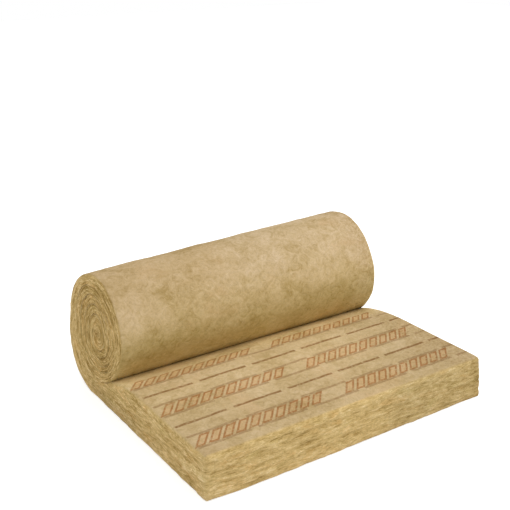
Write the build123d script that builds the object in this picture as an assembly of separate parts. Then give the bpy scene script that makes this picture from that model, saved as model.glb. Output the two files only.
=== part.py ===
from build123d import *
from math import cos, radians, sin
import os

# Mineral-wool insulation mat, partly unrolled: the free end lies flat and the rest is wound up.
# Millimetres. X runs along the roll, Y from the free end towards the roll, Z up.
# The origin is on the floor, under the middle of the part.

# Mat
mat_width = 1200.0
mat_thickness = 160.0
end_edge_radius = 15.0
rim_radius = 12.0

# Flat run: level from the free end, then dipping to the nip where the roll rests on it
end_to_roll_axis = 806.0
level_run = 440.0
nip_angle = 44.0
nip_radius = 5.0

# Outermost turn: squeezed under the roll, thicker up the back, thinner again over the top
under_thickness = 66.0
back_thickness = 64.0
top_thickness = 50.0
front_thickness = 56.0
heel_sag = 75.0
shoulder_slump = 45.0

# Winding: quarter turns, each tighter than the one before, with an upright stretch each side
turn_pitch = 34.0
winding_radius = 188.0
upright_stretch = 36.0
core_radius = 12.0

# Seam between the turns, open at both ends of the roll
seam_width = 5.0
seam_depth = 22.0

tightening = turn_pitch / 4
seam_back = end_to_roll_axis + winding_radius
seam_top = under_thickness + 2 * winding_radius - tightening + upright_stretch
seam_front = seam_back - 2 * winding_radius + 3 * tightening
overall_depth = seam_back + back_thickness


def nip_point():
    """Where the roll's outermost surface comes down on the flat run and turns into the seam."""
    radius = winding_radius + tightening
    y = end_to_roll_axis - radius * cos(radians(nip_angle))
    return Vector(y, under_thickness + radius - radius * sin(radians(nip_angle)))


def section():
    """Outline of the mat seen along the roll, made of lines and arcs that run into each other."""
    heel_radius = under_thickness + winding_radius - heel_sag
    shoulder_radius = winding_radius - tightening + top_thickness + shoulder_slump
    top_height = seam_top + top_thickness
    front_radius = overall_depth - shoulder_radius - (seam_front - front_thickness)
    nip = nip_point()

    floor = Line((end_edge_radius, 0), (overall_depth - heel_radius, 0))
    heel = JernArc(floor @ 1, (1, 0), heel_radius, 90)
    back = Line(heel @ 1, (overall_depth, top_height - shoulder_radius))
    shoulder = JernArc(back @ 1, (0, 1), shoulder_radius, 90)
    crown = JernArc(shoulder @ 1, (-1, 0), front_radius, 90)
    overhang = TangentArc(crown @ 1, nip, tangent=(0, -1))
    dip = TangentArc((level_run, mat_thickness), nip, tangent=(1, 0))
    top = Line(dip @ 0, (end_edge_radius, mat_thickness))
    top_edge = JernArc(top @ 1, (-1, 0), end_edge_radius, 90)
    free_end = Line(top_edge @ 1, (0, end_edge_radius))
    low_edge = JernArc(free_end @ 1, (0, -1), end_edge_radius, 90)
    roll = [floor, heel, back, shoulder, crown, overhang]
    return make_face(roll + [dip, top, top_edge, free_end, low_edge])


def seam_wall(offset):
    """One wall of the seam, from the nip in to the core, this far outside the seam's middle."""
    radius = winding_radius + tightening
    lead_in = 180 + nip_angle
    centre = (end_to_roll_axis, under_thickness + radius)
    wall = [CenterArc(centre, radius + offset, lead_in, 270 - lead_in)]
    quarter = 0
    radius -= tightening
    while radius > core_radius:
        wall += [JernArc(wall[-1] @ 1, wall[-1] % 1, radius + offset, 90)]
        radius -= tightening
        if quarter % 2 == 0:
            wall += [Line(wall[-1] @ 1, wall[-1] @ 1 + (wall[-1] % 1) * upright_stretch)]
        quarter += 1
    return wall


def seam():
    """Thin strip along the seam, as deep as the seam is open at the roll's ends."""
    outer, inner = seam_wall(seam_width / 2), seam_wall(-seam_width / 2)
    caps = [Line(outer[0] @ 0, inner[0] @ 0), Line(outer[-1] @ 1, inner[-1] @ 1)]
    return Plane.YZ * extrude(make_face(outer + inner + caps), seam_depth)


def wool_mat():
    wool = Plane.YZ.offset(-mat_width / 2) * extrude(section(), mat_width)
    nip = nip_point()
    at_nip = wool.edges().filter_by(Axis.X).sort_by_distance(Vector(0, nip.X, nip.Y))[0]
    wool = fillet(at_nip, nip_radius)
    rims = wool.faces().filter_by(Axis.X).edges()
    wool = fillet(rims, rim_radius)
    for near_wall in (-mat_width / 2, mat_width / 2 - seam_depth):
        wool = wool - Pos(near_wall, 0, 0) * seam()
    return Pos(0, -overall_depth / 2, 0) * wool


os.makedirs("parts", exist_ok=True)
export_step(wool_mat(), "parts/wool_mat.step")
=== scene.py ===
import math

import bpy
import numpy as np
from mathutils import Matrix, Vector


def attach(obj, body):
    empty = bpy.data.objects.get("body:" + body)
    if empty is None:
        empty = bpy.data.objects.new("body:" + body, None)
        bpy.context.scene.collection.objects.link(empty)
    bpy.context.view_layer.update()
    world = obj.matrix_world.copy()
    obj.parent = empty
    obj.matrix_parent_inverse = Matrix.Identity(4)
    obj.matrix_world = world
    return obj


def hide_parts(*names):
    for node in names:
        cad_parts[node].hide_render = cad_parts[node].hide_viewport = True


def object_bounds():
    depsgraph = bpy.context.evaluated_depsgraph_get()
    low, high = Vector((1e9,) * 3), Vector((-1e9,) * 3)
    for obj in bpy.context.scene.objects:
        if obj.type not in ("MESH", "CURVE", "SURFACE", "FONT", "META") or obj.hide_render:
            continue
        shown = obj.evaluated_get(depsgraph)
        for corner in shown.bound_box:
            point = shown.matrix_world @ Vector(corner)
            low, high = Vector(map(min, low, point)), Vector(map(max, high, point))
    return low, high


# Metres and radians, in the frame's axes: X along the roll, Y from the free end to the roll.
# In a section, a point is (y, z) with y measured from the free end.

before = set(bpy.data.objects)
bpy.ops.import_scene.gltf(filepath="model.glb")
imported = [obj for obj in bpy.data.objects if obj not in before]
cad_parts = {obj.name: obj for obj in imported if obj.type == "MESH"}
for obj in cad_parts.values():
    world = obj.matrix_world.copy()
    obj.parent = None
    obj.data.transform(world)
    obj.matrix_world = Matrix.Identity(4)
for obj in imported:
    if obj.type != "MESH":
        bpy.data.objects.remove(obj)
cad_low, cad_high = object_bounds()
NODE = "wool_mat"
HALF_WIDTH = cad_high.x
FREE_END = cad_low.y
DEPTH = cad_high.y - cad_low.y
HEIGHT = cad_high.z

# Mat
MAT_THICKNESS = 0.160
EDGE_RADIUS = 0.018
LOW_EDGE_RADIUS = 0.006
LEFT_CORNER = 0.010
RIGHT_CORNER = 0.006
FLOOR_RIM = 0.006
LEFT_RIM = 0.020
RIGHT_RIM = 0.006
LEVEL_RUN = 0.440

# Winding: the seam between the turns is a spiral, drawn out upwards
ROLL_AXIS = np.array([0.808, 0.276])
WINDING_RADIUS = 0.192
ELONGATION = 0.012
SQUEEZE = 0.006
PITCH = 0.034
NIP_ANGLE = math.radians(-38)
CORE_RADIUS = 0.012
CORE_EYE = 0.0015
CORE_DROP = 0.016
LAST_TURN = math.tau * (WINDING_RADIUS - CORE_RADIUS) / PITCH
SEAM_GAP = 0.0010

# Outside of the roll
HEEL_RADIUS = 0.190
SHOULDER_RADIUS = 0.2745
ROLL_FRONT = 0.5875
LEFT_ROLL_RIM = 0.010
RIGHT_ROLL_RIM = 0.0136
TURN_RIM = 0.0035

# How the soft roll leans and sinks at its left end, and leans back and rises at its right
LEFT_LEAN = 0.020
LEFT_SINK = 0.013
RIGHT_LEAN = -0.009
RIGHT_RISE = 0.013

# How far the mat's two ends stand out sideways: at the floor, at the flat run's top and on the roll
FLOOR_LEFT, FLOOR_RIGHT = -0.0075, 0.010
RUN_LEFT, RUN_RIGHT = -0.010, 0.002
ROLL_LEFT, ROLL_RIGHT = 0.0, 0.016
TOP_LEFT, TOP_RIGHT = 0.0, -0.019
FLOOR_AHEAD = 0.010
RUN_RISE = 0.005

# Mesh
STEP = 0.0045
END_DEPTH = 0.034
JOINT_X = HALF_WIDTH - END_DEPTH
FACE_STEPS = 3
CORNER_STEPS = 6
SIDE_STEPS = 34
EDGE_STEPS = 5
BODY_COLUMNS = 145
FLOOR_SKIP = 3
CREASE = 5
NOISE_CELLS = 96
STRAND_SPACING = 0.017
STRAND_HEIGHT = 0.0024
# Place and size of a painted shadow wedge on the wound end faces.
SHADE_WEDGE_PLACE = np.array([0.715, 0.45])
SHADE_WEDGE_SIZE = np.array([0.10, 0.045])

# Print: guide lines across the mat, broken at regular gaps, and rows of slanted bars between them
FIRST_GUIDE = 0.063
GUIDE_SPACING = 0.0754
LAST_GUIDE = 0.55
GUIDE_HALF_WIDTH = 0.0046
FIRST_GAP = -0.380
GAP_SPACING = 0.2275
GAP_HALF_WIDTH = 0.013
GROUP_START = -0.583
GROUP_SPACING = 0.608
GROUP_LENGTH = 0.512
BARS_IN_GROUP = 10
BAR_HALF_WIDTH = 0.0155
BAR_HALF_HEIGHT = 0.027
BAR_SLANT = 0.85
OUTLINE_HALF_WIDTH = 0.0032

# Camera and light
CAMERA_PLACE = (-1.804, -2.563, 1.700)
CAMERA_YAW = math.radians(34.168)
CAMERA_PITCH = math.radians(20.33)
SENSOR = 36.0
FOCAL_PIXELS = 894.4
PICTURE = 510
SKY_STRENGTH = 0.86
KEY_PLACE = (1.9, -1.5, 3.0)
KEY_SIZE = 2.0
KEY_POWER = 50.0
FLOOR_GLOW = 0.55


def smooth_step(low, high, value):
    part = np.clip((value - low) / (high - low), 0, 1)
    return part * part * (3 - 2 * part)


def lumps(points, size, seed):
    """Smooth noise from -1 to 1 at each point, with lumps of this size along each axis."""
    table = np.random.default_rng(seed).uniform(-1, 1, (NOISE_CELLS,) * 3)
    place = points / np.asarray(size, float)
    cell = np.floor(place).astype(int)
    part = place - cell
    part = part * part * (3 - 2 * part)
    total = np.zeros(len(points))
    for corner in np.ndindex(2, 2, 2):
        share = np.prod(np.where(corner, part, 1 - part), axis=1)
        x, y, z = ((cell + corner) % NOISE_CELLS).T
        total += share * table[x, y, z]
    return total


def arc(centre, radius, start, end):
    """Points on an arc, about a mesh step apart."""
    count = max(2, round(abs(end - start) * abs(radius) / STEP))
    angle = np.linspace(start, end, count + 1)
    return centre + abs(radius) * np.column_stack((np.cos(angle), np.sin(angle)))


def bend(start, heading, end):
    """Points on the arc that leaves start in this direction and reaches end."""
    start, end = np.array(start), np.array(end)
    left = np.array([-heading[1], heading[0]])
    way = end - start
    radius = way @ way / (2 * way @ left)
    centre = start + left * radius
    first = math.atan2(*(start - centre)[::-1])
    last = math.atan2(*(end - centre)[::-1])
    turn = (last - first) % math.tau
    if radius < 0:
        turn -= math.tau
    return arc(centre, radius, first, first + turn)


def seam(turn, wobble=0.0):
    """The seam between the turns, at a winding angle counted from straight under the axis."""
    radius = WINDING_RADIUS - PITCH * turn / math.tau
    in_core = smooth_step(LAST_TURN - math.tau, LAST_TURN - math.tau + 0.3, turn)
    radius = radius + (CORE_EYE - radius) * in_core + wobble * (1 - in_core)
    height = radius + (ELONGATION - SQUEEZE * np.cos(turn)) * (1 - in_core)
    drop = CORE_DROP * smooth_step(math.pi, LAST_TURN, turn)
    return ROLL_AXIS + np.column_stack((radius * np.sin(turn), -height * np.cos(turn) - drop))


def roll_outline():
    """Outside of the roll, from the floor under its axis, up the back and over to the nip."""
    top_y = DEPTH - SHOULDER_RADIUS
    crown = top_y - ROLL_FRONT
    right = math.pi / 2
    nip = seam(np.array([NIP_ANGLE]))[0]
    floor = np.linspace((ROLL_AXIS[0], 0), (DEPTH - HEEL_RADIUS, 0), 20)
    heel = arc((DEPTH - HEEL_RADIUS, HEEL_RADIUS), HEEL_RADIUS, -right, 0)
    shoulder = arc((top_y, HEIGHT - SHOULDER_RADIUS), SHOULDER_RADIUS, 0, right)
    front = arc((top_y, HEIGHT - crown), crown, right, 2 * right)
    overhang = bend((ROLL_FRONT, HEIGHT - crown), (0, -1), nip)
    return np.vstack((floor, heel[1:], shoulder, front[1:], overhang[1:]))


def outline_at(turn):
    """The roll's outside at winding angles of its first turn."""
    points = roll_outline()
    squeeze = WINDING_RADIUS / (WINDING_RADIUS + ELONGATION)
    across, down = points[:, 0] - ROLL_AXIS[0], ROLL_AXIS[1] - points[:, 1]
    angle = np.unwrap(np.arctan2(across, down * squeeze))
    return np.column_stack([np.interp(turn, angle, points[:, k]) for k in (0, 1)])


def normals(points, turned):
    """Unit normals along a line of points, on its left or, with turned = -1, its right."""
    along = np.gradient(points, axis=0)
    across = turned * np.column_stack((-along[:, 1], along[:, 0]))
    return across / np.linalg.norm(across, axis=1)[:, None]


class Stations:
    """Cross-sections of the mat one after another, from the free end to the core of the roll.

    lower is the face that ends up outside, upper the printed face that ends up inside.
    """

    def __init__(self, seed=0):
        nip = seam(np.array([NIP_ANGLE]))[0]
        dip = bend((LEVEL_RUN, MAT_THICKNESS), (1, 0), nip)

        edge = np.linspace(0, math.pi / 2, EDGE_STEPS + 1)[:-1]
        flat = np.linspace(EDGE_RADIUS, LEVEL_RUN, round((LEVEL_RUN - EDGE_RADIUS) / STEP))
        y = np.concatenate((EDGE_RADIUS * (1 - np.cos(edge)), flat))
        inset = EDGE_RADIUS * (1 - np.sin(np.concatenate((edge, np.full(len(flat), math.pi / 2)))))
        upper = [np.column_stack((y, MAT_THICKNESS - inset)), dip[1:]]
        lower = [np.column_stack((y, inset * LOW_EDGE_RADIUS / EDGE_RADIUS))]

        under = np.linspace(NIP_ANGLE, 0, round(-NIP_ANGLE * WINDING_RADIUS / STEP))
        upper.append(seam(under[1:]))
        reach = np.linspace(0, 1, len(dip) + len(under) - 1)[1:]
        floor_y = LEVEL_RUN + reach * (ROLL_AXIS[0] - LEVEL_RUN)
        lower.append(np.column_stack((floor_y, 0 * floor_y)))

        turn = [0.0]
        while turn[-1] < LAST_TURN:
            radius = max(WINDING_RADIUS - PITCH * turn[-1] / math.tau, PITCH)
            turn.append(turn[-1] + STEP / radius)
        turn = np.array(turn[1:])
        first = turn < math.tau + NIP_ANGLE
        outside = outline_at(turn[first])
        inside = seam(turn[~first] - math.tau, self.wobble(turn[~first] - math.tau, seed))
        toward = ROLL_AXIS - inside
        inside += SEAM_GAP * toward / np.linalg.norm(toward, axis=1)[:, None]
        lower.append(np.vstack((outside, inside)))
        upper.append(seam(turn, self.wobble(turn, seed)))

        self.lower, self.upper = np.vstack(lower), np.vstack(upper)
        self.count = len(self.lower)
        self.nip = len(y) + len(dip) - 1
        self.roll = self.nip + len(under) - 1
        self.end_of_outside = self.roll + int(first.sum())
        self.turn = np.concatenate((np.full(self.roll, 0.0), turn))
        middle = (self.lower + self.upper) / 2
        steps = np.linalg.norm(np.diff(middle, axis=0), axis=1)
        self.run = np.concatenate(([0], np.cumsum(steps)))
        self.upper_normal = normals(self.upper, 1)
        self.lower_normal = normals(self.lower, -1)
        self.upper_normal[0] = self.lower_normal[0] = (-1, 0)
        number = np.arange(self.count)
        self.upper_open = 1 - smooth_step(self.nip - 3, self.nip + 2, number)
        ending = 1 - smooth_step(self.end_of_outside - 4, self.end_of_outside, number)
        at_edge = number < EDGE_STEPS
        self.lower_open = np.where(at_edge, 1, smooth_step(0, 0.06, self.lower[:, 1])) * ending

    @staticmethod
    def wobble(turn, seed):
        """How far the hand-wound seam strays from its spiral."""
        place = np.column_stack((turn * 0.16, 0 * turn, 0 * turn + 0.1 * seed))
        stray = 0.0045 * lumps(place, 0.07, 3) + 0.0055 * lumps(place, 0.21, 4)
        return stray * smooth_step(0.4, 1.6, turn)


def felt_relief(points):
    """Unevenness of the felted faces."""
    return (0.0018 * lumps(points, 0.13, 11) + 0.0010 * lumps(points, 0.045, 12)
            + 0.0005 * lumps(points, 0.016, 13))


def crests(points, size, seed):
    """Noise with sharp crests, from -1 in the hollows to 1 on the crests."""
    return 1 - 4 * np.abs(lumps(points, size, seed))


def strands(along, across):
    """Thin ridges along the wound turns' edges, from 0 to 1, which wander, fade and come back."""
    points = np.column_stack((along, across, 0 * along + 0.5))
    phase = across / STRAND_SPACING + 1.1 * lumps(points, (0.11, 0.03, 1), 24)
    fading = 0.25 + 0.75 * smooth_step(-0.4, 0.3, lumps(points, (0.05, 0.008, 1), 25))
    return (0.5 + 0.5 * np.cos(math.tau * phase)) ** 3 * fading


def cut_relief(along, across):
    """Layers of a cut edge, at places along and across them."""
    points = np.column_stack((along, across, 0 * along + 0.5))
    points[:, 1] += 0.007 * lumps(points, (0.08, 0.04, 1), 20)
    return (0.0010 * crests(points, (0.10, 0.017, 1), 21) + 0.0008 * crests(points, (0.04, 0.008, 1), 22)
            + 0.0006 * lumps(points, (0.015, 0.005, 1), 23))


def slump(points):
    """The soft mat's lean and sag, which change from its left end to its right."""
    right = points[:, 0] / (2 * HALF_WIDTH) + 0.5
    left = 1 - right
    height = points[:, 2]
    low = np.clip(height / MAT_THICKNESS, 0, 1)
    top = smooth_step(MAT_THICKNESS, HEIGHT, height)
    on_roll = smooth_step(LEVEL_RUN, ROLL_AXIS[0], points[:, 1])
    floor = FLOOR_LEFT * left + FLOOR_RIGHT * right
    run = RUN_LEFT * left + RUN_RIGHT * right
    roll = ROLL_LEFT * left + ROLL_RIGHT * right
    above = (TOP_LEFT - ROLL_LEFT) * left + (TOP_RIGHT - ROLL_RIGHT) * right
    moved = points.copy()
    moved[:, 0] += floor * (1 - low) + (run * (1 - on_roll) + roll * on_roll) * low + above * top
    moved[:, 1] -= LEFT_LEAN * left * smooth_step(0.16, 0.28, height) + RIGHT_LEAN * right * top
    ahead = FLOOR_AHEAD * smooth_step(0, 0.15, right)
    moved[:, 1] -= ahead * (1 - low) * (1 - smooth_step(0, 0.1, points[:, 1]))
    moved[:, 2] += (RIGHT_RISE * right - LEFT_SINK * left) * top
    moved[:, 2] += RUN_RISE * right * low * (1 - on_roll) * (1 - top)
    return moved


def placed(points):
    """Section coordinates to the frame's."""
    moved = slump(points)
    moved[:, 1] += FREE_END
    moved[:, 2] = np.maximum(moved[:, 2], 0)
    return moved


def grid_faces(rows, columns, first=0):
    """Quads of a grid whose points are numbered row by row."""
    row, column = np.meshgrid(np.arange(rows - 1), np.arange(columns - 1), indexing="ij")
    corner = (first + row * columns + column).ravel()
    return np.column_stack((corner, corner + 1, corner + columns + 1, corner + columns))


def make_piece(name, points, quads, quad_maps, wide_faces, values):
    """A mesh piece: points, quads with a map place for each corner, wide flat faces, point values."""
    mesh = bpy.data.meshes.new(name)
    faces = quads.tolist() + wide_faces
    mesh.from_pydata(points.tolist(), [], faces)
    smooth = np.ones(len(faces), bool)
    smooth[len(quads):] = False
    mesh.polygons.foreach_set("use_smooth", smooth)
    layer = mesh.uv_layers.new(name="strip")
    spare = sum(len(face) for face in wide_faces)
    layer.data.foreach_set("uv", np.concatenate((quad_maps.ravel(), np.zeros(2 * spare))))
    for label, value in values.items():
        mesh.attributes.new(label, "FLOAT", "POINT").data.foreach_set("value", value)
    edges = np.empty(len(mesh.loops), int)
    mesh.loops.foreach_get("edge_index", edges)
    sharp = np.zeros(len(mesh.edges), bool)
    sharp[edges[len(edges) - spare:]] = True
    mesh.attributes.new("sharp_edge", "BOOLEAN", "EDGE").data.foreach_set("value", sharp)
    piece = bpy.data.objects.new(name, mesh)
    bpy.context.scene.collection.objects.link(piece)
    return piece


def body_rows(stations):
    """Line of section points round the mat's open faces, from crease to crease at the nip."""
    last = stations.end_of_outside + CREASE
    upper = np.arange(stations.nip + CREASE, -1, -1)
    floor = np.arange(EDGE_STEPS, stations.roll + 15, FLOOR_SKIP)
    lower = np.concatenate((np.arange(EDGE_STEPS), floor, np.arange(floor[-1] + 1, last)))
    share = np.linspace(1, 0, SIDE_STEPS + 1)[1:-1, None]
    front = share * stations.upper[0] + (1 - share) * stations.lower[0]
    ahead = np.tile([-1.0, 0.0], (len(front), 1))
    points = np.vstack((stations.upper[upper], front, stations.lower[lower]))
    out = np.vstack((stations.upper_normal[upper], ahead, stations.lower_normal[lower]))
    is_open = np.concatenate((stations.upper_open[upper], np.ones(len(front)), stations.lower_open[lower]))
    printed = np.concatenate((np.ones(len(upper)), np.zeros(len(front) + len(lower))))
    return points, out, is_open, printed


def face_offset(points, out, is_open):
    """Relief of felted faces and the cut front, as a distance along the section's normal."""
    rightness = points[:, 0] / (2 * HALF_WIDTH) + 0.5
    start = 0.05 + 0.4 * rightness
    front = smooth_step(start, start + 0.4, -out[:, 0]) * (points[:, 1] < 0.1)
    relief = felt_relief(points) * (1 - front) + cut_relief(points[:, 0], points[:, 2]) * front
    return relief * is_open, front


def make_body():
    """The middle of the mat, up to the joints with its two ends."""
    points, out, is_open, printed = body_rows(Stations())
    rows, columns = len(points), BODY_COLUMNS + 1
    x = np.linspace(-JOINT_X, JOINT_X, columns)
    place = np.column_stack((np.tile(x, rows), np.repeat(points, columns, axis=0)))
    out = np.repeat(out, columns, axis=0)
    offset, front = face_offset(place, out, np.repeat(is_open, columns))
    shaped = place.copy()
    shaped[:, 1:] += offset[:, None] * out
    quads = grid_faces(rows, columns)
    closing = np.arange(columns - 1)
    last = (rows - 1) * columns
    closing = np.column_stack((last + closing, last + closing + 1, closing + 1, closing))
    quads = np.vstack((quads, closing))[:, ::-1]
    maps = np.column_stack((place[:, 0], place[:, 2]))[quads]
    left = np.arange(rows) * columns
    wide = [left.tolist(), (left + columns - 1)[::-1].tolist()]
    # The cut front's relief height, which the material uses to paint shade into its grooves.
    values = {"cut": front, "relief_shade": offset * front, "printed": np.repeat(printed, columns)}
    return make_piece("mat_body", placed(shaped), quads, maps, wide, values)


def loop_shape(thickness, depth, low_rim, high_rim):
    """Rounded end of a cross-section: (distance out, height over the lower face) and normals."""
    turn = np.linspace(0, math.pi / 2, CORNER_STEPS + 1)
    face = np.linspace(0, 1, FACE_STEPS + 1)[:-1]
    side = np.linspace(0, 1, SIDE_STEPS - 2 * CORNER_STEPS + 1)[1:-1]
    flat, level = np.zeros(FACE_STEPS), np.zeros(len(side))
    depth, thickness = depth[:, None], thickness[:, None]
    low_rim, high_rim = low_rim[:, None], high_rim[:, None]
    out = np.hstack((
        face * (depth - low_rim),
        depth - low_rim + low_rim * np.sin(turn),
        depth + level,
        depth - high_rim + high_rim * np.cos(turn),
        face[::-1] * (depth - high_rim),
    ))
    up = np.hstack((
        0 * depth + flat,
        low_rim * (1 - np.cos(turn)),
        low_rim + side * (thickness - low_rim - high_rim),
        thickness - high_rim + high_rim * np.sin(turn),
        thickness + flat,
    ))
    outward = np.concatenate((flat, np.sin(turn), level + 1, np.cos(turn), flat))
    upward = np.concatenate((flat - 1, -np.cos(turn), level, np.sin(turn), flat + 1))
    return out, up, outward, upward


def patch(ring, wall, columns, rows):
    """Points of a four-sided patch between three sides of a ring and a wall."""
    low, side, high = ring[:columns + 1], ring[columns:columns + rows + 1], ring[columns + rows:][::-1]
    a = np.linspace(0, 1, columns + 1)[:, None, None]
    b = np.linspace(0, 1, rows + 1)[None, :, None]
    blend = (1 - b) * low[:, None] + b * high[:, None] + (1 - a) * wall[None] + a * side[None]
    blend -= (1 - a) * ((1 - b) * low[0] + b * high[0]) + a * ((1 - b) * low[-1] + b * high[-1])
    return blend


def make_end(side, name, corner_radius, flat_rim, roll_rim):
    """One end of the mat, with its turns and the seams between them."""
    seed = 1 if side < 0 else 2
    stations = Stations(seed)
    count = stations.count
    across = stations.upper - stations.lower
    thickness = np.linalg.norm(across, axis=1)
    across /= thickness[:, None]

    from_end = np.clip(1 - stations.lower[:, 0] / corner_radius, 0, 1) * (stations.run < 0.1)
    facing = np.sqrt(1 - from_end ** 2)
    inset = corner_radius * (1 - facing)
    inner = smooth_step(math.tau + NIP_ANGLE - 0.5, math.tau + NIP_ANGLE + 0.5, stations.turn)
    low_rim = FLOOR_RIM + (roll_rim - FLOOR_RIM) * smooth_step(0.0, 1.4, stations.turn)
    low_rim = low_rim * (1 - inner) + TURN_RIM * inner
    high_rim = TURN_RIM + (flat_rim - TURN_RIM) * stations.upper_open
    low_rim, high_rim = (np.clip(rim - inset, 0.001, thickness * 0.42) for rim in (low_rim, high_rim))
    out, up, outward, upward = loop_shape(thickness, END_DEPTH - inset, low_rim, high_rim)
    ring = out.shape[1]

    section = stations.lower[:, None] + across[:, None] * up[:, :, None]
    place = np.dstack((side * (JOINT_X + out), section)).reshape(-1, 3)
    lower_side = np.arange(ring)[None] < ring // 2
    normal = np.where(lower_side[:, :, None], stations.lower_normal[:, None], stations.upper_normal[:, None])
    normal = normal.reshape(-1, 2)
    is_open = np.where(lower_side, stations.lower_open[:, None], stations.upper_open[:, None])
    face, front = face_offset(place, normal, is_open.ravel())

    low_edge = np.where(np.arange(count) < EDGE_STEPS, stations.lower[:, 1], 0)
    run = np.repeat(stations.run, ring)
    along = side * (JOINT_X + out + stations.run[:, None]).ravel()
    height = (up + low_edge[:, None]).ravel()
    turn = np.repeat(stations.turn, ring)
    wound = smooth_step(2.4, 3.6, turn)
    layers = cut_relief(along, height)
    strand = strands(along, height) * wound
    middle = (height / np.repeat(thickness, ring) - 0.48) / 0.11
    on_back = smooth_step(0.4, 1.0, turn) * (1 - smooth_step(2.4, 3.2, turn))
    ridge = 0.004 * (1 - smooth_step(0.1, 0.3, run)) * (turn == 0) + 0.0015 * on_back
    ridge *= np.exp(-middle ** 2)
    swing = np.column_stack((run, 0 * run, 0 * run + seed))
    telescope = 0.0035 * lumps(swing, 0.22, 31) * wound
    dish = -0.007 * smooth_step(math.tau * 0.8, math.tau * 3, turn)
    ahead = np.repeat(1 - facing ** 2, ring)
    relief = layers + (telescope + dish + ridge + strand * STRAND_HEIGHT) * (1 - ahead)

    flank = np.tile(smooth_step(0.35, 0.95, outward), count)
    flat_share = np.tile(upward ** 2, count)
    facing = np.repeat(facing, ring)
    shaped = place.copy()
    shaped[:, 0] += side * relief * flank * facing
    shaped[:, 1] -= relief * flank * np.sqrt(1 - facing ** 2)
    shaped[:, 1:] += (face * flat_share)[:, None] * normal

    quads = grid_faces(count, ring)
    maps = np.column_stack((along, height))[quads]

    columns, rows = FACE_STEPS + CORNER_STEPS // 2, ring - 1 - 2 * (FACE_STEPS + CORNER_STEPS // 2)
    share = np.linspace(0, 1, rows + 1)[:, None]
    wall = (1 - share) * place[0] + share * place[ring - 1]
    inner_points = patch(place[:ring], wall, columns, rows)
    flat = inner_points.reshape(-1, 3)
    cap_relief = cut_relief(flat[:, 0], flat[:, 2]).reshape(columns + 1, rows + 1)
    inner_points[:, :, 1] -= cap_relief
    numbers = np.full((columns + 1, rows + 1), -1)
    numbers[:, 0] = np.arange(columns + 1)
    numbers[columns] = np.arange(columns, columns + rows + 1)
    numbers[:, rows] = np.arange(ring - 1, ring - 2 - columns, -1)
    free = numbers < 0
    numbers[free] = count * ring + np.arange(free.sum())
    points = np.vstack((shaped, inner_points[free]))
    cap = (numbers[:-1, :-1], numbers[:-1, 1:], numbers[1:, 1:], numbers[1:, :-1])
    cap = np.stack(cap, axis=-1).reshape(-1, 4)
    cap_maps = np.column_stack((points[:, 0], points[:, 2]))[cap]

    start = np.arange(1, count - 1) * ring
    walls = np.column_stack((start, start + ring - 1, start + 2 * ring - 1, start + ring))
    first_wall = numbers[0].tolist() + [2 * ring - 1, ring]
    last_wall = np.arange((count - 1) * ring, count * ring).tolist()
    wide = [first_wall, last_wall] + walls.tolist()
    quads, maps = np.vstack((quads, cap)), np.vstack((maps, cap_maps))
    if side < 0:
        quads, maps = quads[:, ::-1], maps[:, ::-1]
    else:
        wide = [face[::-1] for face in wide]

    extra = np.ones(free.sum())
    printed = np.where(lower_side, 0, stations.turn[:, None] == 0).ravel() * (1 - flank)
    # Painted shadow: a darker wedge on the wound end faces, carried in the relief value.
    shade_wedge = place[:, 1:] - SHADE_WEDGE_PLACE
    shade_wedge = np.exp(-np.sum((shade_wedge / SHADE_WEDGE_SIZE) ** 2, axis=1)) * wound
    # Relief height, a little lower over the wound turns and in the shadow wedge; the material uses it to paint
    # shade into the grooves and seams and highlight onto the crests.
    relief_shade = layers + (0.5 * ridge + 0.0045 * strand - 0.0026 * wound - 0.0022 * shade_wedge) * (1 - ahead)
    values = {
        "cut": np.concatenate((np.maximum(flank, front), extra)),
        "relief_shade": np.concatenate((relief_shade * flank, cap_relief[free])),
        "printed": np.concatenate((printed, 0 * extra)),
    }
    return make_piece(name, placed(points), quads, maps, wide, values)


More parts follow.
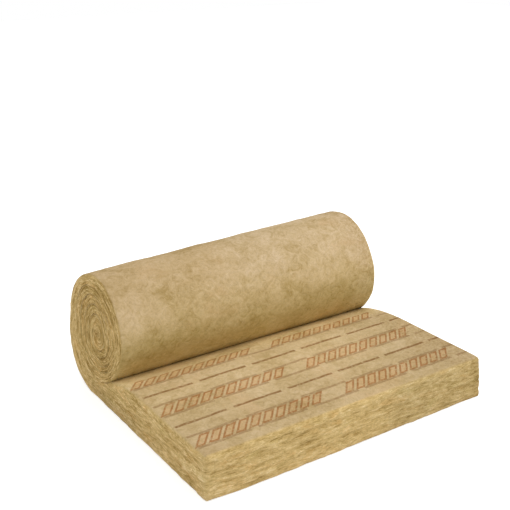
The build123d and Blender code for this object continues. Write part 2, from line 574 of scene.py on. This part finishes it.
class Tree:
    """A material's nodes, with a short call for each kind."""

    def __init__(self, name):
        self.material = bpy.data.materials.new(name)
        self.material.use_nodes = True
        self.nodes = self.material.node_tree.nodes
        self.shader = self.nodes["Principled BSDF"]

    def feed(self, socket, value):
        if isinstance(value, bpy.types.NodeSocket):
            self.material.node_tree.links.new(value, socket)
        else:
            socket.default_value = value

    def place(self):
        return self.nodes.new("ShaderNodeTexCoord").outputs["Object"]

    def strip(self):
        node = self.nodes.new("ShaderNodeUVMap")
        node.uv_map = "strip"
        return node.outputs["UV"]

    def value(self, name):
        node = self.nodes.new("ShaderNodeAttribute")
        node.attribute_name = name
        return node.outputs["Fac"]

    def parts(self, vector):
        node = self.nodes.new("ShaderNodeSeparateXYZ")
        self.feed(node.inputs[0], vector)
        return node.outputs

    def math(self, operation, *values):
        node = self.nodes.new("ShaderNodeMath")
        node.operation = operation
        for socket, value in zip(node.inputs, values):
            self.feed(socket, value)
        return node.outputs[0]

    def blend(self, *parts):
        """Sum of values, each with its weight."""
        total = self.math("MULTIPLY", *parts[0])
        for value, weight in parts[1:]:
            total = self.math("ADD", total, self.math("MULTIPLY", value, weight))
        return total

    def step(self, value, low, high, start=0.0, end=1.0):
        """Smooth step from start to end, as a value goes from low to high."""
        node = self.nodes.new("ShaderNodeMapRange")
        node.interpolation_type = "SMOOTHSTEP"
        for name, setting in zip(("Value", "From Min", "From Max", "To Min", "To Max"),
                                 (value, low, high, start, end)):
            self.feed(node.inputs[name], setting)
        return node.outputs["Result"]

    def stretched(self, vector, factors):
        node = self.nodes.new("ShaderNodeVectorMath")
        node.operation = "MULTIPLY"
        self.feed(node.inputs[0], vector)
        self.feed(node.inputs[1], factors)
        return node.outputs[0]

    def noise(self, vector, scale, detail=3.0, roughness=0.5, distortion=0.0):
        node = self.nodes.new("ShaderNodeTexNoise")
        for name, setting in (("Vector", vector), ("Scale", scale), ("Detail", detail),
                              ("Roughness", roughness), ("Distortion", distortion)):
            self.feed(node.inputs[name], setting)
        return node.outputs[0]

    def ramp(self, value, stops):
        node = self.nodes.new("ShaderNodeValToRGB")
        elements = node.color_ramp.elements
        for element, (position, colour) in zip(elements, stops):
            element.position, element.color = position, (*colour, 1)
        for position, colour in stops[2:]:
            elements.new(position).color = (*colour, 1)
        self.feed(node.inputs[0], value)
        return node.outputs["Color"]

    def mix(self, share, first, second, blend="MIX"):
        node = self.nodes.new("ShaderNodeMix")
        node.data_type, node.blend_type = "RGBA", blend
        self.feed(node.inputs[0], share)
        self.feed(node.inputs[6], first)
        self.feed(node.inputs[7], second)
        return node.outputs[2]

    def bump(self, height, strength, distance):
        node = self.nodes.new("ShaderNodeBump")
        for name, setting in (("Height", height), ("Strength", strength), ("Distance", distance)):
            self.feed(node.inputs[name], setting)
        self.feed(self.shader.inputs["Normal"], node.outputs[0])


def from_nearest(tree, value, first, spacing):
    """Distance from a value to the nearest of evenly spaced marks."""
    marks = tree.math("DIVIDE", tree.math("SUBTRACT", value, first), spacing)
    part = tree.math("SUBTRACT", marks, tree.math("ROUND", marks))
    return tree.math("MULTIPLY", tree.math("ABSOLUTE", part), spacing), marks


def guide_print(tree, place):
    """Ink on the upper face: how much is line, and how much is the bars' fill."""
    x, y, _ = tree.parts(place)
    wander = tree.math("MULTIPLY", tree.math("SUBTRACT", tree.noise(place, 22.0, 2.0), 0.5), 0.005)
    y = tree.math("ADD", tree.math("SUBTRACT", y, FREE_END), wander)
    from_guide, guide = from_nearest(tree, y, FIRST_GUIDE, GUIDE_SPACING)
    from_gap, _ = from_nearest(tree, x, FIRST_GAP, GAP_SPACING)
    line = tree.step(from_guide, GUIDE_HALF_WIDTH, GUIDE_HALF_WIDTH + 0.003, 1.0, 0.0)
    line = tree.math("MULTIPLY", line, tree.step(from_gap, GAP_HALF_WIDTH, GAP_HALF_WIDTH + 0.003))
    line = tree.math("MULTIPLY", line, tree.math("LESS_THAN", y, LAST_GUIDE))
    number = tree.math("FLOORED_MODULO", tree.math("ROUND", guide), 3.0)
    line = tree.math("MULTIPLY", line, tree.step(number, 1.4, 1.6, 0.62, 1.0))

    band = tree.math("FLOOR", guide)
    every_third = tree.math("LESS_THAN", tree.math("FLOORED_MODULO", band, 3.0), 0.5)
    after_first = tree.math("GREATER_THAN", band, -0.5)
    up = tree.math("MULTIPLY", tree.math("SUBTRACT", tree.math("FRACT", guide), 0.5), GUIDE_SPACING)
    slanted = tree.math("SUBTRACT", x, tree.math("MULTIPLY", up, BAR_SLANT))
    along = tree.math("FLOORED_MODULO", tree.math("SUBTRACT", slanted, GROUP_START), GROUP_SPACING)
    pitch = GROUP_LENGTH / BARS_IN_GROUP
    from_bar, _ = from_nearest(tree, along, pitch / 2, pitch)
    beside = tree.math("SUBTRACT", from_bar, BAR_HALF_WIDTH)
    above = tree.math("SUBTRACT", tree.math("ABSOLUTE", up), BAR_HALF_HEIGHT)
    outside = tree.math("MAXIMUM", beside, above)
    here = tree.math("MULTIPLY", every_third, after_first)
    here = tree.math("MULTIPLY", here, tree.math("LESS_THAN", along, GROUP_LENGTH))
    edge = tree.step(tree.math("ABSOLUTE", outside), OUTLINE_HALF_WIDTH, OUTLINE_HALF_WIDTH + 0.003, 1.0, 0.0)
    fill = tree.step(outside, 0.0, 0.003, 1.0, 0.0)
    return line, tree.math("MULTIPLY", edge, here), tree.math("MULTIPLY", fill, here)


def thin_lines(tree, value, width):
    """1 along the lines where a noise passes its middle value."""
    return tree.step(tree.math("ABSOLUTE", tree.math("SUBTRACT", value, 0.5)), 0.0, width, 1.0, 0.0)


def felt_colour(tree, place):
    """Felted face: soft mottling, darker curls of fibre, ruddier patches, and painted light and shade by height
    and place.
    """
    broad = tree.noise(place, 7.0, 3.0, 0.5, 0.6)
    mottle = tree.noise(place, 28.0, 5.0, 0.65, 1.6)
    grain = tree.noise(place, 80.0, 4.0, 0.7, 0.8)
    shade = tree.blend((broad, 0.36), (mottle, 0.50), (grain, 0.14))
    felt = tree.ramp(shade, [(0.37, (0.41, 0.285, 0.11)), (0.63, (0.645, 0.49, 0.275)),
                             (0.50, (0.55, 0.405, 0.20))])
    ruddy = tree.step(tree.noise(place, 5.0, 4.0, 0.6, 0.8), 0.52, 0.70, 0.0, 0.55)
    felt = tree.mix(ruddy, felt, (0.60, 0.41, 0.20, 1))
    x, _, height = tree.parts(place)
    height = tree.math("ADD", height, tree.math("MULTIPLY", broad, 0.12))
    # Painted warm bounce light from the mat: the felt more olive low down.
    felt = tree.mix(tree.step(height, 0.28, 0.46, 1.0, 0.0), felt, (1.02, 1.04, 0.86, 1), "MULTIPLY")
    # Painted light: the felt paler and bluer higher up.
    upper = tree.step(height, 0.40, 0.56)
    felt = tree.mix(upper, felt, (0.96, 0.96, 1.065, 1), "MULTIPLY")
    # Painted shade: the felt darker high on the left.
    top_left_shade = tree.math("MULTIPLY", upper, tree.step(x, -0.2, 0.05, 1.0, 0.0))
    felt = tree.mix(top_left_shade, felt, (0.95, 0.92, 0.85, 1), "MULTIPLY")
    # Painted shade: the felt darker in a band low on the roll.
    lower = tree.math("MULTIPLY", tree.step(height, 0.34, 0.44, 1.0, 0.0), tree.step(height, 0.23, 0.31))
    felt = tree.mix(lower, felt, (0.90, 0.90, 0.885, 1), "MULTIPLY")
    # Painted shade: the felt darker towards the right rim, which also gets a rougher, darker speckle.
    rim_shade_and_speckle = tree.step(x, 0.40, 0.58)
    felt = tree.mix(rim_shade_and_speckle, felt, (0.96, 0.96, 0.96, 1), "MULTIPLY")
    rough = tree.math("MULTIPLY", rim_shade_and_speckle, tree.step(grain, 0.42, 0.56, 1.0, 0.0))
    felt = tree.mix(rough, felt, (0.85, 0.80, 0.72, 1), "MULTIPLY")
    patchy = tree.noise(place, 15.0, 2.0)
    curl = thin_lines(tree, tree.noise(place, 48.0, 3.0, 0.5, 3.4), 0.016)
    curl = tree.math("MULTIPLY", curl, tree.step(patchy, 0.50, 0.62, 0.0, 0.75))
    felt = tree.mix(curl, felt, (0.34, 0.225, 0.08, 1))
    hair = thin_lines(tree, tree.noise(place, 36.0, 2.0, 0.5, 4.5), 0.010)
    hair = tree.math("MULTIPLY", hair, tree.step(patchy, 0.38, 0.50, 0.6, 0.0))
    return tree.mix(hair, felt, (0.78, 0.62, 0.38, 1)), mottle


def fibre_colour(tree, strip, relief_shade):
    """Cut edge: light fibres and dark gaps in layers along the mat, in patches of two tints, with painted shade
    in the grooves and towards the front's right end, and darker low on the sides next to the roll.
    """
    layered = tree.stretched(strip, (1.0, 5.5, 1.0))
    streak = tree.noise(layered, 24.0, 6.0, 0.66, 1.2)
    strand = tree.noise(layered, 70.0, 3.0, 0.6, 1.4)
    blotch = tree.noise(tree.stretched(strip, (1.0, 2.2, 1.0)), 17.0, 3.0, 0.55, 1.2)
    # The relief term paints shade into the grooves and seams and highlight onto the crests.
    depth = tree.blend((streak, 0.48), (strand, 0.32), (blotch, 0.20), (relief_shade, 26.0))
    u, v, _ = tree.parts(strip)
    past_end = tree.math("SUBTRACT", tree.math("ABSOLUTE", u), HALF_WIDTH)
    beside = tree.step(past_end, 0.0, 0.05, 0.03, 0.15)
    lines = thin_lines(tree, tree.noise(tree.stretched(strip, (1.0, 8.0, 1.0)), 15.0, 4.0, 0.6, 0.8), 0.05)
    depth = tree.math("ADD", depth, tree.math("MULTIPLY", tree.math("SUBTRACT", lines, 0.17), beside))
    # Painted shade: the cut face darker round the front's right corner.
    corner = tree.math("MULTIPLY", tree.step(u, 0.49, 0.58, 0.0, -0.06), tree.step(u, 0.65, 0.85, 1.0, 0.0))
    depth = tree.math("ADD", depth, corner)
    fibre = tree.ramp(depth, [(0.35, (0.29, 0.185, 0.05)), (0.67, (0.88, 0.69, 0.39)),
                              (0.44, (0.49, 0.335, 0.125)), (0.54, (0.66, 0.475, 0.205))])
    fibre = tree.mix(tree.step(past_end, 0.0, 0.05), fibre, (1.0, 0.98, 0.92, 1), "MULTIPLY")
    near_roll = tree.math("MULTIPLY", tree.step(past_end, 0.25, 0.60), tree.step(past_end, 0.75, 0.95, 1.0, 0.0))
    low_side = tree.math("MULTIPLY", near_roll, tree.step(v, 0.03, 0.075, 1.0, 0.0))
    fibre = tree.mix(low_side, fibre, (0.83, 0.83, 0.83, 1), "MULTIPLY")
    # Painted shade: the cut front darker over its right part.
    on_front = tree.step(u, 0.65, 0.85, 1.0, 0.0)
    shaded = tree.math("MULTIPLY", tree.step(u, 0.05, 0.24), on_front)
    fibre = tree.mix(shaded, fibre, (0.85, 0.86, 0.875, 1), "MULTIPLY")
    tint = tree.noise(tree.stretched(strip, (1.0, 3.0, 1.0)), 9.0, 4.0, 0.6, 1.0)
    fibre = tree.mix(tree.step(tint, 0.52, 0.70, 0.0, 0.6), fibre, (1.04, 0.93, 0.80, 1), "MULTIPLY")
    fibre = tree.mix(tree.step(tint, 0.30, 0.48, 0.6, 0.0), fibre, (0.90, 0.92, 0.80, 1), "MULTIPLY")
    return fibre, streak, strand


def make_wool():
    """Felted mineral wool: felted faces, cut edges in layers, and ink on the upper face."""
    tree = Tree("mineral_wool")
    place, strip = tree.place(), tree.strip()
    cut, relief_shade, printed = (tree.value(name) for name in ("cut", "relief_shade", "printed"))
    fine = tree.noise(place, 150.0, 3.0, 0.6)
    felt, mottle = felt_colour(tree, place)
    paler = tree.mix(0.12, felt, (0.55, 0.42, 0.22, 1))
    x, y, _ = tree.parts(place)
    paler = tree.mix(1.0, paler, (0.935, 0.91, 1.115, 1), "MULTIPLY")
    # Painted light: the printed face brighter towards the roll.
    near_roll = tree.step(y, -0.44, 0.0)
    paler = tree.mix(near_roll, paler, (1.20, 1.22, 1.24, 1), "MULTIPLY")
    # Painted light: the printed face brighter still next to the nip.
    nip_painted_light = tree.step(y, -0.03, 0.07)
    paler = tree.mix(nip_painted_light, paler, (1.23, 1.27, 1.20, 1), "MULTIPLY")
    # Painted shade: the printed face darker towards its right end.
    paler = tree.mix(tree.step(x, 0.15, 0.45), paler, (0.88, 0.88, 0.88, 1), "MULTIPLY")
    # Painted shade: the printed face darker at its front-left corner.
    left_corner_shade = tree.math("MULTIPLY", tree.step(x, -0.6, -0.42, 1.0, 0.0), tree.step(y, -0.50, -0.44, 1.0, 0.0))
    paler = tree.mix(left_corner_shade, paler, (0.94, 0.92, 0.91, 1), "MULTIPLY")
    felt = tree.mix(printed, felt, paler)
    fibre, streak, strand = fibre_colour(tree, strip, relief_shade)
    wool = tree.mix(cut, felt, fibre)

    line, edge, fill = guide_print(tree, place)
    worn = tree.step(tree.blend((tree.noise(place, 90.0, 4.0, 0.7), 0.6), (mottle, 0.4)), 0.32, 0.54)
    on_print = tree.math("MULTIPLY", printed, worn)
    wool = tree.mix(tree.math("MULTIPLY", fill, on_print), wool, (1.0, 0.90, 0.82, 1), "MULTIPLY")
    wool = tree.mix(tree.math("MULTIPLY", edge, on_print), wool, (0.68, 0.49, 0.37, 1), "MULTIPLY")
    wool = tree.mix(tree.math("MULTIPLY", line, on_print), wool, (0.50, 0.38, 0.28, 1), "MULTIPLY")
    speckle = tree.step(fine, 0.3, 0.7, 0.88, 1.10)
    speckle = tree.ramp(speckle, [(0.0, (0, 0, 0)), (1.0, (1, 1, 1))])
    tree.feed(tree.shader.inputs["Base Color"], tree.mix(1.0, wool, speckle, "MULTIPLY"))

    felt_height = tree.blend((mottle, 0.7), (fine, 0.3))
    fibre_height = tree.blend((streak, 0.6), (strand, 0.4))
    height = tree.mix(cut, felt_height, fibre_height)
    tree.bump(height, 0.6, 0.004)
    tree.shader.inputs["Roughness"].default_value = 1.0
    tree.shader.inputs["Specular IOR Level"].default_value = 0.1
    return tree.material


def seen_ray(nodes, links):
    """1 for rays that show the backdrop: from the camera, reflected or passed through."""
    path = nodes.new("ShaderNodeLightPath")
    total = path.outputs["Is Camera Ray"]
    for name in ("Is Glossy Ray", "Is Transmission Ray"):
        node = nodes.new("ShaderNodeMath")
        node.operation = "MAXIMUM"
        links.new(total, node.inputs[0])
        links.new(path.outputs[name], node.inputs[1])
        total = node.outputs[0]
    return total


def make_stage():
    """Pale floor that shows white, with a faint shadow."""
    reach = 14
    corners = [(-reach, -reach, 0), (reach, -reach, 0), (reach, reach, 0), (-reach, reach, 0)]
    mesh = bpy.data.meshes.new("floor")
    mesh.from_pydata(corners, [], [(0, 1, 2, 3)])
    floor = bpy.data.objects.new("floor", mesh)
    bpy.context.scene.collection.objects.link(floor)
    tree = Tree("floor")
    tree.shader.inputs["Base Color"].default_value = (0.8, 0.8, 0.8, 1)
    tree.shader.inputs["Roughness"].default_value = 1.0
    tree.shader.inputs["Emission Color"].default_value = (1, 1, 1, 1)
    glow = tree.math("MULTIPLY", seen_ray(tree.nodes, tree.material.node_tree.links), FLOOR_GLOW)
    tree.feed(tree.shader.inputs["Emission Strength"], glow)
    mesh.materials.append(tree.material)



def make_camera():
    camera = bpy.data.cameras.new("camera")
    camera.sensor_width = SENSOR
    camera.lens = FOCAL_PIXELS * SENSOR / PICTURE
    holder = bpy.data.objects.new("camera", camera)
    holder.location = CAMERA_PLACE
    holder.rotation_euler = (math.pi / 2 - CAMERA_PITCH, 0, -CAMERA_YAW)
    bpy.context.scene.collection.objects.link(holder)
    bpy.context.scene.camera = holder


def aim(holder, target):
    """Turn a lamp to face a point."""
    way = holder.location - target
    holder.rotation_euler = way.to_track_quat("Z", "Y").to_euler()


def make_lights():
    world = bpy.data.worlds.new("studio")
    world.use_nodes = True
    nodes, links = world.node_tree.nodes, world.node_tree.links
    background = nodes["Background"]
    background.inputs["Color"].default_value = (1, 1, 1, 1)
    strength = nodes.new("ShaderNodeMapRange")
    links.new(seen_ray(nodes, links), strength.inputs["Value"])
    strength.inputs["To Min"].default_value = SKY_STRENGTH
    strength.inputs["To Max"].default_value = 1.0
    links.new(strength.outputs["Result"], background.inputs["Strength"])
    bpy.context.scene.world = world

    lamp = bpy.data.lights.new("key", "AREA")
    lamp.energy = KEY_POWER
    lamp.size = KEY_SIZE
    holder = bpy.data.objects.new("key", lamp)
    holder.location = KEY_PLACE
    aim(holder, (cad_low + cad_high) / 2)
    bpy.context.scene.collection.objects.link(holder)


wool = make_wool()
left_end = make_end(-1, "mat_left_end", LEFT_CORNER, LEFT_RIM, LEFT_ROLL_RIM)
right_end = make_end(1, "mat_right_end", RIGHT_CORNER, RIGHT_RIM, RIGHT_ROLL_RIM)
for piece in (make_body(), left_end, right_end):
    piece.data.materials.append(wool)
    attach(piece, "root")
    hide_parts(NODE)

make_stage()
make_camera()
make_lights()
bpy.context.scene.view_settings.view_transform = "Standard"
